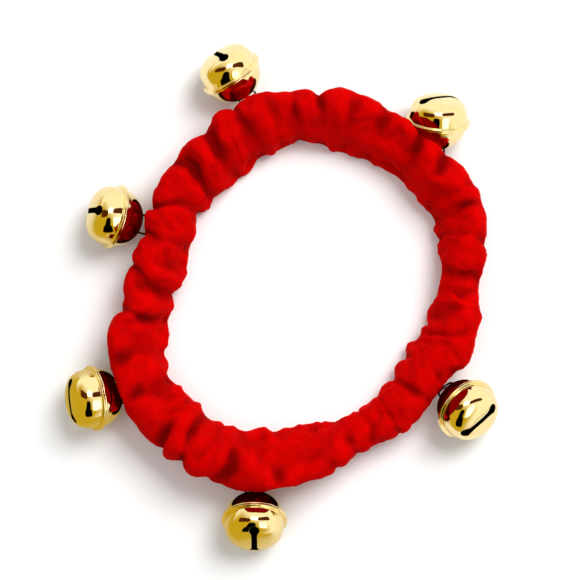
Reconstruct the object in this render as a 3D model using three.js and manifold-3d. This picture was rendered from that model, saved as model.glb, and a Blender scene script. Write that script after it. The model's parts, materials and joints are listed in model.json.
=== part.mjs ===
// Sleigh bells on a gathered wrist band: six two-piece jingle bells, each with a loose pellet and a wire bail,
// sewn round a plush sleeve that is gathered on a ring of flat elastic.
// Lengths are millimetres and angles degrees. +Z is up, and the band lies on Z = 0.

import * as THREE from "three";
import { mergeVertices } from "three/addons/utils/BufferGeometryUtils.js";
import Module from "manifold-3d";

const wasm = await Module();
wasm.setup();

// ---- driving dimensions ----

// The band's centre line: its distance from the middle, and half the sleeve's width there, every 20 degrees
// anticlockwise from +X.
const STATION_STEP = 20;
const STATIONS = [
  [38.6, 5.2], [42.4, 6.1], [43.0, 6.4], [42.8, 6.5], [43.6, 7.0], [41.9, 6.7],
  [39.2, 6.9], [38.5, 6.3], [35.9, 6.0], [38.3, 6.2], [43.6, 6.7], [45.6, 6.8],
  [46.1, 7.2], [42.7, 7.4], [39.0, 5.9], [37.8, 5.2], [36.3, 5.8], [37.7, 6.6],
];
const CORE_HEIGHT = 6.2; // the elastic's middle above the table
const CHANNEL_RADIUS = 3.8; // the room that the folds leave round the elastic
const SEAM_ANGLE = 1; // where the sleeve's ends meet
const SEAM_GAP = 1.2;
const SLEEVE_STEPS = 72;
const SLEEVE_SIDES = 12;
const CHANNEL_SIDES = 8;

const ELASTIC_WIDTH = 5;
const ELASTIC_THICKNESS = 0.8;
const ELASTIC_LAP_ANGLE = 292; // the middle of the overlap of its ends
const ELASTIC_LAP_SPAN = 14; // degrees of the ring that the overlap takes
const ELASTIC_LAP_GAP = 0.3;
const ELASTIC_STEPS = 60;

const LASHING_WIDTH = 2.4;
const LASHING_THICKNESS = 0.35;
const STITCH_RADIUS = 4.5;
const THREAD_RADIUS = 0.2;
const CLEARANCE = 0.3;
const SLIVER = 0.05; // the smallest detail that a cut may leave
const DIMPLE_ROOM = 1.7; // how far the sleeve gives way round a bell that leans on it

// A bell: two pressed shells of one sheet thickness. The slotted shell's flange is rolled round the other's.
const SHELL_RADIUS = 7.3; // outside, at the equator
const SHELL_POLE = 7.1; // outside, along the bell's axis, on the bail's side
const SLOTTED_POLE = 6.4; // the same on the slotted side, whose end is pressed flatter
const SLOTTED_SQUARENESS = 3.0; // the power of its superellipse, where 2 is an ellipse
const SHEET = 0.3;
const HEM_GAP = 0.08;
const RIM_RADIUS = 8.05;
const HEM_INNER_RADIUS = 7.5;
const SLOT_WIDTH = 1.4;
const SLOT_HOLE_RADIUS = 1.35;
const SLOT_HOLE_ANGLE = 39; // from the pole to each end hole
const SHELL_SEGMENTS = 20;
const SHELL_ARC_STEPS = 4;
const PELLET_RADIUS = 2.2;
const PELLET_PATH = 4.15; // the pellet's middle from the bell's middle, as it rolls
const PELLET_SHIFT = 0.35; // how far towards the bail its path is centred, clear of the flatter end

const WIRE_RADIUS = 0.35;
const BAIL_SPACING = 4.5; // between its two legs
const BAIL_REACH = 3.2; // how far its crown stands off the shell
const BAIL_HOLE_RADIUS = 0.6;
const BAIL_FOOT = 1.2; // how far each end is bent outward inside the shell
const BAIL_SHOULDER = 1.1; // how far below the crown the legs start to turn in

// The room left in the sleeve round each bell's thread and bail.
const PASSAGE = [2.2, 3.4]; // half its height and half its width round the thread
const SWING_ROOM = [3.9, 4.6, 3.9]; // round the bail's crown: along the thread, sideways, and up
const THREAD_WRAP = 1.15; // the radius of the thread's turn round each edge of the elastic

// seat: where on the ring the bell is sewn. heading: which way its slotted pole points. lift: how far that
// pole is raised from level. reach: from the elastic to the bell's middle. slot: its turn from upright.
// raise: how far the bell is held off the table.
const BELLS = [
  { seat: 101.0, heading: 127, lift: 26, reach: 16.6, slot: 5, raise: 0 },
  { seat: 40.6, heading: 86, lift: 30, reach: 14.4, slot: 118, raise: 0 },
  { seat: 155.3, heading: 168, lift: 24, reach: 14.3, slot: 0, raise: 0 },
  { seat: 212.8, heading: 190, lift: 24, reach: 13.9, slot: 80, raise: 0 },
  { seat: 328.1, heading: 311.5, lift: 42, reach: 13.6, slot: 90, raise: 0.6 },
  { seat: 254.3, heading: 270, lift: 31, reach: 14.7, slot: 0, raise: 0 },
];

// ---- materials ----

const plush = new THREE.MeshStandardMaterial({ color: 0xc00008, roughness: 0.95 });
const gold = new THREE.MeshStandardMaterial({ color: 0xe6bd45, roughness: 0.12, metalness: 1 });
const steel = new THREE.MeshStandardMaterial({ color: 0xb8bcc0, roughness: 0.25, metalness: 1 });
const darkWire = new THREE.MeshStandardMaterial({ color: 0x3a342c, roughness: 0.4, metalness: 1 });
const rubber = new THREE.MeshStandardMaterial({ color: 0xeeeae2, roughness: 0.9 });
const redThread = new THREE.MeshStandardMaterial({ color: 0x8a0a0a, roughness: 0.8 });

// ---- helpers ----

const radians = THREE.MathUtils.degToRad;

function solidOf(geometry) {
  const bare = geometry.clone();
  bare.deleteAttribute("normal");
  bare.deleteAttribute("uv");
  const merged = mergeVertices(bare, 1e-4);
  return new wasm.Manifold(
    new wasm.Mesh({
      numProp: 3,
      vertProperties: merged.attributes.position.array,
      triVerts: new Uint32Array(merged.index.array),
    }),
  );
}

function geometryOf(solid) {
  const { vertProperties, triVerts } = solid.getMesh();
  const geometry = new THREE.BufferGeometry();
  geometry.setAttribute("position", new THREE.BufferAttribute(vertProperties, 3));
  geometry.setIndex(new THREE.BufferAttribute(triVerts, 1));
  geometry.computeVertexNormals();
  return geometry;
}

function cut(geometry, cutters) {
  let solid = solidOf(geometry);
  for (const cutter of cutters) {
    solid = solid.subtract(solidOf(cutter));
  }
  return geometryOf(solid.simplify(SLIVER));
}

function named(name, geometry, material) {
  const mesh = new THREE.Mesh(geometry, material);
  mesh.name = name;
  return mesh;
}

// A closed solid through rings of points, each running clockwise as seen looking back from the last ring.
function loft(rings) {
  const sides = rings[0].length;
  const positions = [];
  for (const ring of rings) {
    for (const point of ring) {
      positions.push(point.x, point.y, point.z);
    }
  }
  const index = [];
  for (let i = 0; i + 1 < rings.length; i++) {
    for (let j = 0; j < sides; j++) {
      const a = i * sides + j;
      const b = i * sides + ((j + 1) % sides);
      index.push(a, a + sides, b);
      index.push(b, a + sides, b + sides);
    }
  }
  const last = (rings.length - 1) * sides;
  for (let j = 1; j + 1 < sides; j++) {
    index.push(0, j, j + 1);
    index.push(last, last + j + 1, last + j);
  }
  const geometry = new THREE.BufferGeometry();
  geometry.setAttribute("position", new THREE.Float32BufferAttribute(positions, 3));
  geometry.setIndex(index);
  return geometry;
}

// The points of an ellipse's arc about the origin, from one angle to another.
function arc(radiusX, radiusY, from, to, steps) {
  const points = [];
  for (let i = 0; i <= steps; i++) {
    const angle = radians(from + ((to - from) * i) / steps);
    points.push(new THREE.Vector2(radiusX * Math.cos(angle), radiusY * Math.sin(angle)));
  }
  return points;
}

// A quarter of the slotted shell's outline, sheet is how far inside it, from one angle to another.
function slottedArc(sheet, from, to, steps) {
  const power = 2 / SLOTTED_SQUARENESS;
  return arc(1, 1, from, to, steps).map(
    ({ x, y }) =>
      new THREE.Vector2(
        (SHELL_RADIUS - sheet) * Math.max(x, 0) ** power,
        (SLOTTED_POLE - sheet) * Math.max(y, 0) ** power,
      ),
  );
}

// The outline of a belt pulled tight round circles [x, y, radius].
function belt(circles) {
  const points = circles.flatMap(([x, y, radius]) =>
    arc(radius, radius, 0, 315, 7).map((p) => new THREE.Vector2(p.x + x, p.y + y)),
  );
  points.sort((a, b) => a.x - b.x || a.y - b.y);
  const chain = (ordered) => {
    const kept = [];
    for (const p of ordered) {
      while (kept.length > 1) {
        const [a, b] = kept.slice(-2);
        if ((b.x - a.x) * (p.y - a.y) > (b.y - a.y) * (p.x - a.x)) {
          break;
        }
        kept.pop();
      }
      kept.push(p);
    }
    return kept.slice(0, -1);
  };
  return [...chain(points), ...chain([...points].reverse())];
}

// ---- the band ----

// x and y are the centre line's, and z is half the sleeve's width.
const ring = new THREE.CatmullRomCurve3(
  STATIONS.map(([radius, half], i) => {
    const angle = radians(i * STATION_STEP);
    return new THREE.Vector3(radius * Math.cos(angle), radius * Math.sin(angle), half);
  }),
  true,
);

// The place on the ring at an angle: the point on the centre line, the way outward, and half the width.
function ringAt(angle) {
  const turn = (((angle % 360) + 360) % 360) / 360;
  const point = ring.getPoint(turn);
  const tangent = ring.getTangent(turn).setZ(0).normalize();
  return {
    point: new THREE.Vector3(point.x, point.y, 0),
    outward: new THREE.Vector3(tangent.y, -tangent.x, 0),
    tangent,
    half: point.z,
  };
}

// The ring's angle after going a length along it.
function angleAfter(angle, length) {
  const { point, outward } = ringAt(angle);
  return angle + THREE.MathUtils.radToDeg(length / point.dot(outward));
}

// A tube along the ring between two angles. corner gives each corner's place from the centre line:
// x outward and y up.
function ringTube(from, to, steps, sides, corner) {
  const rings = [];
  for (let i = 0; i <= steps; i++) {
    const place = ringAt(from + ((to - from) * i) / steps);
    const points = [];
    for (let j = 0; j < sides; j++) {
      const offset = corner((360 * (j + 0.5)) / sides, place.half);
      points.push(place.point.clone().addScaledVector(place.outward, offset.x).setZ(offset.y));
    }
    rings.push(points);
  }
  return loft(rings);
}

// The sleeve's outside is flat underneath, where it lies on the table.
function sleeveCorner(angle, half) {
  const outerAngle = 180 / SLEEVE_SIDES;
  const up = Math.sin(radians(angle)) / Math.cos(radians(outerAngle));
  const tall = up > 0 ? half : CORE_HEIGHT;
  return {
    x: (half * Math.cos(radians(angle))) / Math.cos(radians(outerAngle)),
    y: CORE_HEIGHT + tall * up,
  };
}

function channelCorner(angle) {
  const radius = CHANNEL_RADIUS / Math.cos(radians(180 / CHANNEL_SIDES));
  return {
    x: radius * Math.cos(radians(angle)),
    y: CORE_HEIGHT + radius * Math.sin(radians(angle)),
  };
}

function fabricSleeve(cutters) {
  const from = angleAfter(SEAM_ANGLE, SEAM_GAP / 2);
  const to = angleAfter(SEAM_ANGLE, -SEAM_GAP / 2) + 360;
  const outside = ringTube(from, to, SLEEVE_STEPS, SLEEVE_SIDES, sleeveCorner);
  const channel = ringTube(from - 0.5, to + 0.5, SLEEVE_STEPS, CHANNEL_SIDES, channelCorner);
  return cut(outside, [channel, ...cutters]);
}

// A flat strip on edge round the ring, its two ends lapped side by side.
function elastic() {
  const start = ELASTIC_LAP_ANGLE - ELASTIC_LAP_SPAN / 2;
  const sweep = 360 + ELASTIC_LAP_SPAN;
  const lapOffset = (ELASTIC_THICKNESS + ELASTIC_LAP_GAP) / 2;
  const edge = (side) => {
    const points = [];
    for (let i = 0; i <= ELASTIC_STEPS; i++) {
      const along = (sweep * i) / ELASTIC_STEPS;
      const inside = 1 - THREE.MathUtils.smoothstep(along, ELASTIC_LAP_SPAN, 2 * ELASTIC_LAP_SPAN);
      const outside = THREE.MathUtils.smoothstep(along, 360 - ELASTIC_LAP_SPAN, 360);
      const offset = (outside - inside) * lapOffset + (side * ELASTIC_THICKNESS) / 2;
      const place = ringAt(start + along);
      const point = place.point.addScaledVector(place.outward, offset);
      points.push(new THREE.Vector2(point.x, point.y));
    }
    return points;
  };
  const outline = new THREE.Shape([...edge(1), ...edge(-1).reverse()]);
  const geometry = new THREE.ExtrudeGeometry(outline, { depth: ELASTIC_WIDTH, bevelEnabled: false });
  return geometry.translate(0, 0, CORE_HEIGHT - ELASTIC_WIDTH / 2);
}

// Turns a shape drawn with x outward and y up so that it stands across the band at an angle.
function standAcross(mesh, angle) {
  const { point, tangent } = ringAt(angle);
  mesh.position.set(point.x, point.y, CORE_HEIGHT);
  mesh.rotation.set(Math.PI / 2, 0, Math.atan2(tangent.y, tangent.x) - Math.PI / 2, "ZYX");
  return mesh;
}

// Thread wound round the lapped ends of the elastic.
function elasticJoinLashing() {
  const frame = (grow) => {
    const x = ELASTIC_THICKNESS + ELASTIC_LAP_GAP / 2 + grow;
    const y = ELASTIC_WIDTH / 2 + grow;
    return [[x, -y], [x, y], [-x, y], [-x, -y]].map(([a, b]) => new THREE.Vector2(a, b));
  };
  const outline = new THREE.Shape(frame(CLEARANCE + LASHING_THICKNESS));
  outline.holes.push(new THREE.Path(frame(CLEARANCE)));
  const geometry = new THREE.ExtrudeGeometry(outline, { depth: LASHING_WIDTH, bevelEnabled: false });
  return geometry.translate(0, 0, -LASHING_WIDTH / 2);
}

// ---- a bell, with its axis along Z, the slotted pole at +Z and the bail's crown along Y ----

const HEM_SHEET = SHEET / 2;
const HEM_IN = HEM_SHEET + HEM_GAP;
const HEM_OUT = HEM_IN + SHEET;

// Turns a profile, drawn as (distance from the axis, height), about Z.
function turned(profile) {
  return new THREE.LatheGeometry(profile, SHELL_SEGMENTS).rotateX(Math.PI / 2);
}

function bailHole(side) {
  const hole = new THREE.CylinderGeometry(BAIL_HOLE_RADIUS, BAIL_HOLE_RADIUS, SHELL_POLE, 8);
  return hole.rotateX(Math.PI / 2).translate(0, (side * BAIL_SPACING) / 2, -SHELL_POLE);
}

function upperShell() {
  const inner = SHELL_RADIUS - SHEET;
  const flange = RIM_RADIUS - SHEET - HEM_GAP;
  const profile = [
    ...arc(SHELL_RADIUS, SHELL_POLE, -90, -5, SHELL_ARC_STEPS),
    new THREE.Vector2(SHELL_RADIUS, -HEM_SHEET),
    new THREE.Vector2(flange, -HEM_SHEET),
    new THREE.Vector2(flange, HEM_SHEET),
    new THREE.Vector2(inner, HEM_SHEET),
    ...arc(inner, SHELL_POLE - SHEET, -5, -90, SHELL_ARC_STEPS),
  ];
  return cut(turned(profile), [bailHole(1), bailHole(-1)]);
}

function slotCutters(slotTurn) {
  const length = 2 * SHELL_POLE * Math.sin(radians(SLOT_HOLE_ANGLE));
  const slot = new THREE.BoxGeometry(length, SLOT_WIDTH, SHELL_POLE).translate(0, 0, SHELL_POLE);
  const holes = [-SLOT_HOLE_ANGLE, SLOT_HOLE_ANGLE].map((angle) => {
    const hole = new THREE.CylinderGeometry(SLOT_HOLE_RADIUS, SLOT_HOLE_RADIUS, 4, 10);
    return hole.rotateX(Math.PI / 2).translate(0, 0, SHELL_POLE).rotateY(radians(angle));
  });
  return [slot, ...holes].map((cutter) => cutter.rotateZ(radians(slotTurn)));
}

function slottedShell(slotTurn) {
  const inner = SHELL_RADIUS - SHEET;
  const profile = [
    ...slottedArc(SHEET, 90, 3, SHELL_ARC_STEPS),
    new THREE.Vector2(inner, HEM_IN),
    new THREE.Vector2(RIM_RADIUS - SHEET, HEM_IN),
    new THREE.Vector2(RIM_RADIUS - SHEET, -HEM_IN),
    new THREE.Vector2(HEM_INNER_RADIUS, -HEM_IN),
    new THREE.Vector2(HEM_INNER_RADIUS, -HEM_OUT),
    new THREE.Vector2(RIM_RADIUS - SHEET / 2, -HEM_OUT),
    new THREE.Vector2(RIM_RADIUS, -HEM_IN),
    new THREE.Vector2(RIM_RADIUS, HEM_IN),
    new THREE.Vector2(RIM_RADIUS - SHEET / 2, HEM_OUT),
    new THREE.Vector2(SHELL_RADIUS, HEM_OUT),
    ...slottedArc(0, 3, 90, SHELL_ARC_STEPS),
  ];
  return cut(turned(profile), slotCutters(slotTurn));
}

// The wire runs in through one hole, is bent outward inside the shell at both ends, and arches between.
function bail() {
  const leg = BAIL_SPACING / 2;
  const crown = SHELL_POLE + BAIL_REACH;
  const half = [
    [leg + BAIL_FOOT, SHELL_POLE - 1.85],
    [leg + 0.35, SHELL_POLE - 1.35],
    [leg, SHELL_POLE - 0.7],
    [leg, crown - BAIL_SHOULDER],
    [leg - 0.6, crown - 0.25],
  ];
  const points = [
    ...half.map(([y, z]) => new THREE.Vector3(0, -y, -z)),
    new THREE.Vector3(0, 0, -crown),
    ...half.reverse().map(([y, z]) => new THREE.Vector3(0, y, -z)),
  ];
  const section = new THREE.Shape(arc(WIRE_RADIUS, WIRE_RADIUS, 0, 300, 5));
  return new THREE.ExtrudeGeometry(section, {
    steps: 18,
    bevelEnabled: false,
    extrudePath: new THREE.CatmullRomCurve3(points),
  });
}

// A loop of thread round the elastic and the bail's crown, drawn with x outward and z up from the elastic.
function bellThread(crown) {
  const edge = ELASTIC_WIDTH / 2 - CLEARANCE;
  const round = belt([
    [0, edge, THREAD_WRAP],
    [0, -edge, THREAD_WRAP],
    [crown.x, crown.z, WIRE_RADIUS + THREAD_RADIUS + CLEARANCE / 2],
  ]);
  const path = new THREE.CatmullRomCurve3(
    round.map((p) => new THREE.Vector3(p.x, 0, p.y)),
    true,
  );
  return new THREE.TubeGeometry(path, 22, THREAD_RADIUS, 4, true);
}

// ---- assembly ----

const band = new THREE.Group();

// Builds one bell on its thread, and returns the room that it takes out of the sleeve.
function addBell(bell, number) {
  const lift = radians(bell.lift);
  const crownReach = SHELL_POLE + BAIL_REACH;
  const onRim = RIM_RADIUS * Math.cos(lift) + HEM_OUT * Math.sin(lift);
  const height = Math.max(SHELL_RADIUS, onRim) + bell.raise;
  const { point } = ringAt(bell.seat);

  // The thread turns about the elastic. Its x axis points along the bell's heading.
  const sewn = new THREE.Group();
  sewn.position.set(point.x, point.y, CORE_HEIGHT);
  sewn.rotation.z = radians(bell.heading);
  band.add(sewn);

  // The bell swings on the crown of its bail.
  const hung = new THREE.Group();
  hung.position.x = bell.reach - crownReach * Math.cos(lift);
  hung.position.z = height - CORE_HEIGHT - crownReach * Math.sin(lift);
  hung.rotation.y = Math.PI / 2 - lift;
  sewn.add(hung);
  sewn.add(named(`thread_${number}`, bellThread(hung.position), redThread));

  const body = new THREE.Group();
  body.position.z = crownReach;
  hung.add(body);
  body.add(named(`upper_shell_${number}`, upperShell(), gold));
  body.add(named(`slotted_shell_${number}`, slottedShell(bell.slot), gold));
  body.add(named(`bail_${number}`, bail(), darkWire));

  // The pellet lies at the lowest place inside, and rolls about a point near the bell's middle.
  const rolling = new THREE.Group();
  rolling.position.z = -PELLET_SHIFT;
  rolling.rotation.y = lift - Math.PI / 2;
  const pellet = named(`pellet_${number}`, new THREE.IcosahedronGeometry(PELLET_RADIUS, 1), steel);
  pellet.position.z = -PELLET_PATH;
  rolling.add(pellet);
  body.add(rolling);

  band.updateMatrixWorld(true);
  const fromElasticToCrown = hung.position.length();
  const passage = new THREE.CylinderGeometry(1, 1, fromElasticToCrown, 10)
    .scale(PASSAGE[0], 1, PASSAGE[1])
    .translate(0, fromElasticToCrown / 2, 0)
    .rotateZ(-Math.PI / 2)
    .rotateY(Math.atan2(-hung.position.z, hung.position.x));
  const swingRoom = new THREE.SphereGeometry(1, 10, 6)
    .scale(...SWING_ROOM)
    .translate(hung.position.x, 0, hung.position.z);
  const dimple = new THREE.SphereGeometry(SHELL_RADIUS + DIMPLE_ROOM, 14, 10);
  return [
    passage.applyMatrix4(sewn.matrixWorld),
    swingRoom.applyMatrix4(sewn.matrixWorld),
    dimple.applyMatrix4(body.matrixWorld),
  ];
}

const bellRoom = BELLS.flatMap((bell, i) => addBell(bell, i + 1));

band.add(named("fabric_sleeve", fabricSleeve(bellRoom), plush));
band.add(named("elastic", elastic(), rubber));
band.add(standAcross(named("elastic_join_lashing", elasticJoinLashing(), redThread), ELASTIC_LAP_ANGLE));
const stitch = new THREE.TorusGeometry(STITCH_RADIUS, CLEARANCE, 6, 24);
band.add(standAcross(named("sleeve_closing_stitch", stitch, redThread), SEAM_ANGLE));

// The origin is the middle of the object's box, on the table.
band.updateMatrixWorld(true);
const middle = new THREE.Box3().setFromObject(band, true).getCenter(new THREE.Vector3());
band.children.forEach((child) => child.position.sub(middle.clone().setZ(0)));
band.name = "sleigh_bells";

export default band;
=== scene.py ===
import json
import math
from dataclasses import dataclass

import bmesh
import bpy
import numpy as np
from mathutils import Matrix, Vector, noise
from mathutils.bvhtree import BVHTree
from mathutils.geometry import delaunay_2d_cdt


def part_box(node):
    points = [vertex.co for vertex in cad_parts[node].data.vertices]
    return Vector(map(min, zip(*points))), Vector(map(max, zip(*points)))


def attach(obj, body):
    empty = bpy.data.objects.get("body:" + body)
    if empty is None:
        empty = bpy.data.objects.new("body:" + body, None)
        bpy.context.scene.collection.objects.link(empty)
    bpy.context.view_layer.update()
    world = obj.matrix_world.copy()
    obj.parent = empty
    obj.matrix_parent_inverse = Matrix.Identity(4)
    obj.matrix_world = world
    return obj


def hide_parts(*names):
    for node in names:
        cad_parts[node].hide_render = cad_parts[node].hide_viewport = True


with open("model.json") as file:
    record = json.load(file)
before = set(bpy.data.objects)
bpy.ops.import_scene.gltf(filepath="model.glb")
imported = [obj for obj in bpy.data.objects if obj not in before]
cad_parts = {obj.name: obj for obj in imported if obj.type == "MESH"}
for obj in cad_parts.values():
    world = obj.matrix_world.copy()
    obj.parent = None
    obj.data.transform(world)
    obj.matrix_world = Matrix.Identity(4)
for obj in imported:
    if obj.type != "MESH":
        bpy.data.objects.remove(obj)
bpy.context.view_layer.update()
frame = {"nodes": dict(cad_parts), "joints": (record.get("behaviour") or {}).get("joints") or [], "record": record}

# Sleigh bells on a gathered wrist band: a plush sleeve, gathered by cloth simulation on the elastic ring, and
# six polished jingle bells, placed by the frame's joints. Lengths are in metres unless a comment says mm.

MM = 0.001
NODES = frame["nodes"]
JOINTS = {joint["name"]: joint for joint in frame["joints"]}
BELL_COUNT = 6

# A bell, in its own frame: Z along its axis to the slotted pole, Y along the bail's crown.
SHELL_RADIUS = 7.3 * MM
SHELL_POLE = 7.1 * MM
SLOTTED_POLE = 6.4 * MM
SLOTTED_SQUARENESS = 3.0
SHEET = 0.3 * MM
RIM_RADIUS = 8.05 * MM
HEM_GAP = 0.08 * MM
HEM_INNER_RADIUS = 7.5 * MM
SLOT_HALF_WIDTH = 0.7 * MM
SLOT_HOLE_RADIUS = 1.35 * MM
SLOT_HOLE_ANGLE = math.radians(39)
SLOT_TURNS = (5, 118, 0, 80, 90, 0)  # each bell's slot, in degrees from upright
PELLET_RADIUS = 2.2 * MM
WIRE_RADIUS = 0.25 * MM
BAIL_SPACING = 4.5 * MM
BAIL_REACH = 3.2 * MM
WIRE_HOLE_RADIUS = 0.45 * MM
RIM_BESIDE_SLEEVE = (2,)  # the bells whose rim, not only the plain half, comes beside the sleeve

# The sleeve's cloth is cut larger than the tube that it is gathered into, by this factor both ways.
GATHER = 1.28
TUBE_SHARE = 0.74  # of the sleeve's size, before the cloth fills out
SEAM_ANGLE = 1.0
SLEEVE_STEPS = 420
SLEEVE_SIDES = 40

# Where the cloth is pinched: the angle round the ring on the outer side, the angle on the inner side, and how
# deep. Degrees, anticlockwise from +X.
FOLDS = [
    (1, -3, 0.3), (16.6, 20, 0.5), (28, 28, 0.7), (33, 34, 0.7), (44, 41, 0.4), (54, 50.6, 0.6),
    (65, 64, 0.6), (73, 74, 0.5), (85, 83.5, 0.7), (93, 91, 0.6), (99, 99, 0.5), (110, 107.7, 0.9),
    (121, 120.6, 0.7), (134, 133, 0.5), (150, 145, 0.9), (162, 160, 0.5), (173, 178.7, 0.8),
    (188, 188, 0.7), (201, 201, 0.6), (212, 213, 0.9), (228, 223, 0.6), (235, 231, 0.8),
    (242.7, 240.5, 0.6), (248, 247.4, 0.8), (262, 262, 0.4), (278.7, 275, 0.5), (286, 286.6, 0.5),
    (293.3, 295, 0.4), (302.6, 305, 0.4), (318, 316, 0.4), (331, 326, 0.5), (345, 338, 0.5),
]

# Where the sleeve swells or draws in by itself: the angle round the ring, how far the swelling reaches either
# way, and its height in mm, for the ring's outer side and its inner side.
BULGES_OUT = [
    (14, 5, -1.1), (32, 4, 1.5), (107, 9, 2.0), (185, 6, -1.8), (214, 4, 1.5), (246, 4, -0.9),
    (285, 4, -1.2), (305, 6, 1.4),
]
BULGES_IN = [
    (30, 7, -0.8), (52, 13, -1.2), (91, 6, -1.2), (94, 14, -1.4), (110, 8, -1.2), (148, 4, -1.5),
    (168, 6, 0.9), (209, 7, -1.2), (225, 6, 0.8), (274, 9, 0.9), (328, 4, 1.2),
]


# ---- places, from the frame ----


@dataclass
class Bell:
    number: int
    thread: dict
    hinge: dict
    anchor: Vector
    crown: Vector
    centre: Vector
    to_world: Matrix

    @property
    def body(self):
        return f"bell_{self.number}"


def read_bell(number):
    thread, hinge = JOINTS[f"thread_{number}_turn"], JOINTS[f"bell_{number}_swing"]
    anchor, crown = Vector(thread["pos_m"]), Vector(hinge["pos_m"])
    axis_z = (Vector(JOINTS[f"pellet_{number}_roll"]["pos_m"]) - crown).normalized()
    centre = crown + (SHELL_POLE + BAIL_REACH) * axis_z
    axis_y = -Vector(hinge["axis"]).normalized()
    axis_x = axis_y.cross(axis_z)
    turn = Matrix((axis_x, axis_y, axis_z)).transposed().to_4x4()
    return Bell(number, thread, hinge, anchor, crown, centre, Matrix.Translation(centre) @ turn)


BELLS = [read_bell(number) for number in range(1, BELL_COUNT + 1)]
CORE_HEIGHT = BELLS[0].anchor.z
wrist_low, wrist_high = frame["record"]["physics"]["openings"][0]["box_m"]
RING_CENTRE = (Vector(wrist_low) + Vector(wrist_high)) / 2


# ---- camera, light and floor ----


def aim(obj, place, target):
    obj.location = place
    obj.rotation_euler = (Vector(target) - Vector(place)).to_track_quat("-Z", "Y").to_euler()


def link(obj):
    bpy.context.scene.collection.objects.link(obj)
    return obj


def add_camera():
    distance = 0.6
    tilt = math.radians(6)
    seen_width = 143.8 * MM
    left_of_ring, height = 3.2 * MM, 7 * MM
    data = bpy.data.cameras.new("camera")
    camera = link(bpy.data.objects.new("camera", data))
    data.sensor_width = 36
    data.lens = data.sensor_width * distance / seen_width
    target = Vector((RING_CENTRE.x - left_of_ring, RING_CENTRE.y, height))
    place = target + distance * Vector((0, -math.sin(tilt), math.cos(tilt)))
    aim(camera, place, target)
    bpy.context.scene.camera = camera


def add_area(name, place, size, energy):
    data = bpy.data.lights.new(name, "AREA")
    data.shape = "SQUARE"
    data.size = size
    data.energy = energy
    light = link(bpy.data.objects.new(name, data))
    aim(light, place, (0, 0, 0))
    light.visible_glossy = False


def add_lights():
    world = bpy.data.worlds.new("studio")
    world.use_nodes = True
    background = world.node_tree.nodes["Background"]
    background.inputs["Color"].default_value = (1, 1, 1, 1)
    background.inputs["Strength"].default_value = 0.42
    bpy.context.scene.world = world
    add_area("key", place=(0.36, 0.36, 0.72), size=0.52, energy=7.4)
    add_area("fill", place=(-0.35, -0.1, 0.9), size=0.6, energy=1.4)


def new_material(name):
    """A material, its node tree and its Principled shader."""
    material = bpy.data.materials.new(name)
    material.use_nodes = True
    tree = material.node_tree
    return material, tree, tree.nodes["Principled BSDF"]


def add_node(tree, kind, inputs=None, **settings):
    """A node with its settings made and each of its inputs wired or set."""
    node = tree.nodes.new(kind)
    for name, value in settings.items():
        setattr(node, name, value)
    for name, value in (inputs or {}).items():
        if isinstance(value, bpy.types.NodeSocket):
            tree.links.new(value, node.inputs[name])
        else:
            node.inputs[name].default_value = value
    return node


def map_range(tree, value, from_min, from_max, to_min, to_max, kind="LINEAR"):
    inputs = {
        "Value": value, "From Min": from_min, "From Max": from_max, "To Min": to_min, "To Max": to_max,
    }
    return add_node(tree, "ShaderNodeMapRange", inputs, interpolation_type=kind).outputs["Result"]


def show(tree, socket):
    tree.links.new(socket, tree.nodes["Material Output"].inputs["Surface"])


def matt_material(name, colour):
    material, _, shader = new_material(name)
    shader.inputs["Base Color"].default_value = (*colour, 1)
    shader.inputs["Roughness"].default_value = 0.9
    shader.inputs["Specular IOR Level"].default_value = 0.2
    return material


def lit_material(name, colour, strength=1):
    """The even glow of a lit panel, and the node that makes it."""
    material, tree, shader = new_material(name)
    tree.nodes.remove(shader)
    light = add_node(tree, "ShaderNodeEmission", {"Color": (*colour, 1), "Strength": strength})
    show(tree, light.outputs["Emission"])
    return material, light


def add_mesh(name, points, faces, material):
    mesh = bpy.data.meshes.new(name)
    mesh.from_pydata(points, [], faces)
    mesh.materials.append(material)
    return link(bpy.data.objects.new(name, mesh))


def add_square(name, half, height, material):
    corners = [(-half, -half, height), (half, -half, height), (half, half, height), (-half, half, height)]
    return add_mesh(name, corners, [(0, 1, 2, 3)], material)


def only_reflected(obj):
    obj.visible_camera = False
    obj.visible_diffuse = False
    obj.visible_shadow = False


def add_tent():
    """The room that the bells reflect: a bright tent, dimmer and warmer on its near left."""
    radius = 3
    brighter_way = (0.34 / radius, 0.36 / radius, 0)
    horizon, upper = 0.05 * radius, 0.5 * radius
    at_horizon, overhead = 0.62, 0.42
    dim, bright = (0.60, 0.42, 0.02, 1), (1.12, 1.08, 0.95, 1)
    bm = bmesh.new()
    bmesh.ops.create_uvsphere(bm, u_segments=48, v_segments=24, radius=radius)
    mesh = bpy.data.meshes.new("tent")
    bm.to_mesh(mesh)
    bm.free()
    material, light = lit_material("tent", (1, 1, 1))
    tree = material.node_tree
    place = add_node(tree, "ShaderNodeTexCoord").outputs["Object"]
    slope = add_node(tree, "ShaderNodeVectorMath", {0: place, 1: brighter_way}, operation="DOT_PRODUCT")
    height = add_node(tree, "ShaderNodeSeparateXYZ", {0: place}).outputs["Z"]
    low = map_range(tree, height, horizon, upper, at_horizon, overhead, "SMOOTHSTEP")
    total = add_node(tree, "ShaderNodeMath", {0: slope.outputs["Value"], 1: low}, operation="ADD")
    ramp = add_node(tree, "ShaderNodeValToRGB", {"Fac": total.outputs["Value"]})
    ramp.color_ramp.interpolation = "EASE"
    first, last = ramp.color_ramp.elements
    first.position, first.color = 0.25, dim
    last.position, last.color = 0.62, bright
    tree.links.new(ramp.outputs["Color"], light.inputs["Color"])
    mesh.materials.append(material)
    only_reflected(link(bpy.data.objects.new("tent", mesh)))


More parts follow.
